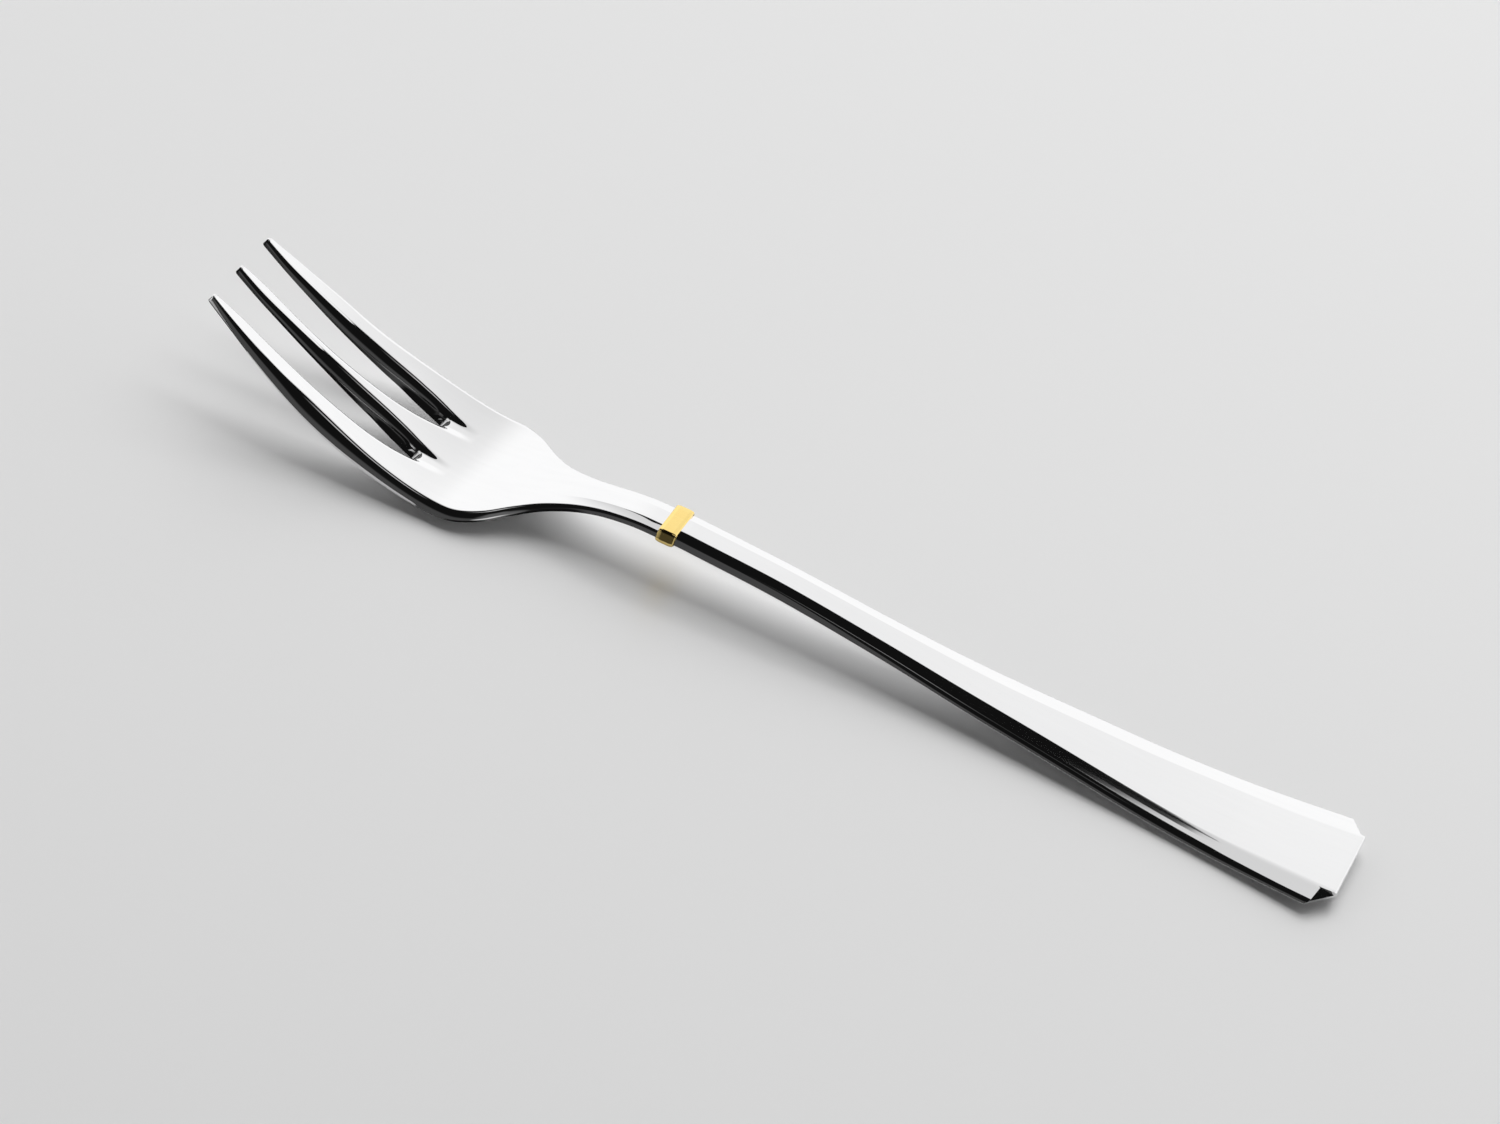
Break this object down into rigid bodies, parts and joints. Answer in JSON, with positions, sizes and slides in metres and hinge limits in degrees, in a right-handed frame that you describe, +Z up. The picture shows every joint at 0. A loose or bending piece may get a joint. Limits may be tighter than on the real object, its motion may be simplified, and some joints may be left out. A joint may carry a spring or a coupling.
{
  "type": "cake fork",
  "caption": "Polished steel cake fork with a dished head of upswept tines, a slim neck with a raised gold collar and a flared, bevelled handle with clipped corners.",
  "frame": {"origin": "centre of the fork's plan, on the table that it lies on", "axes": "+X from the tine tips to the end of the handle, +Y across the fork, +Z up from the table"},
  "size_m": [0.15, 0.022, 0.0148],
  "materials": {
    "head_steel": "mirror-polished stainless steel",
    "handle_steel": "mirror-polished stainless steel",
    "collar_gold": "polished gold-coloured metal"
  },
  "bodies": {
    "root": {"fork_head": "head_steel", "handle": "handle_steel", "gold_collar": "collar_gold"}
  },
  "joints": []
}
